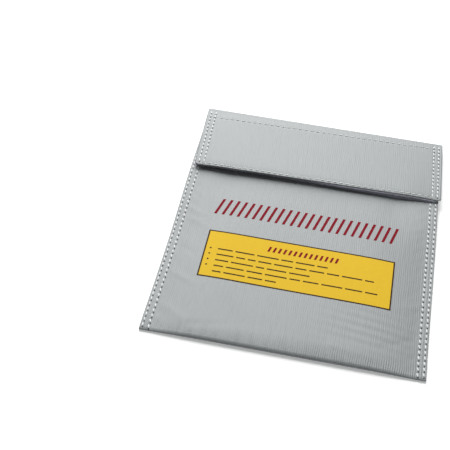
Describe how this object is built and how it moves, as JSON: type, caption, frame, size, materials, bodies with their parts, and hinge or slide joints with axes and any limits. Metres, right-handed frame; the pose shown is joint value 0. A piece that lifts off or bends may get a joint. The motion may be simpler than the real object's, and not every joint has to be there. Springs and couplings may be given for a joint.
{
  "type": "battery safety bag",
  "caption": "Flat sewn pouch of silver coated cloth with a hook-and-loop flap, for storing and charging a hobby battery.",
  "frame": {"origin": "middle of the closed bag's outline, on the surface that its back lies on", "axes": "+X across the bag, +Y from the bottom fold to the top fold, +Z out of the front"},
  "size_m": [0.18, 0.22, 0.0088],
  "materials": {
    "coated_cloth": "silver coated cloth, fine ribbed weave, satin",
    "lining_cloth": "plain woven lining, matte",
    "loop_tape": "soft looped pile, matte",
    "hook_tape": "moulded nylon hooks on woven tape, satin",
    "thread": "twisted polyester thread",
    "red_print": "screen-printed ink",
    "yellow_print": "screen-printed ink",
    "dark_print": "screen-printed ink"
  },
  "bodies": {
    "pouch": {"back_panel": "coated_cloth", "back_lining": "lining_cloth", "bottom_fold": "coated_cloth", "left_seam_allowance": "coated_cloth", "right_seam_allowance": "coated_cloth", "left_seam_thread_outer": "thread", "left_seam_thread_inner": "thread", "right_seam_thread_outer": "thread", "right_seam_thread_inner": "thread"},
    "front": {"front_panel": "coated_cloth", "front_lining": "lining_cloth", "mouth_hem": "coated_cloth", "mouth_hem_thread": "thread", "loop_strip": "loop_tape", "loop_strip_threads": "thread", "title_print": "red_print", "label_panel": "yellow_print", "label_border": "dark_print", "label_marks": "dark_print"},
    "top_fold": {"top_fold_cloth": "coated_cloth", "top_fold_lining": "lining_cloth"},
    "flap": {"flap_panel": "coated_cloth", "flap_lining": "lining_cloth", "hook_strip": "hook_tape", "hook_strip_threads": "thread", "flap_top_thread": "thread", "flap_hem_thread": "thread", "flap_left_threads": "thread", "flap_right_threads": "thread"}
  },
  "joints": [
    {"name": "fold_turn", "type": "hinge", "parent": "pouch", "child": "top_fold", "pos_m": [0, 0.1092, 0.0008], "axis": [-1, 0, 0], "range_deg": [0, 88]},
    {"name": "flap_turn", "type": "hinge", "parent": "top_fold", "child": "flap", "pos_m": [0, 0.1092, 0.0078], "axis": [-1, 0, 0], "range_deg": [0, 88]},
    {"name": "mouth_open", "type": "hinge", "parent": "pouch", "child": "front", "pos_m": [0, -0.1078, 0.004], "axis": [1, 0, 0], "range_deg": [0, 7]}
  ],
  "couplings": [
    {"joint": "fold_turn", "follows": "flap_turn", "ratio": 1},
    {"joint": "mouth_open", "follows": "flap_turn", "ratio": 0.0795}
  ]
}
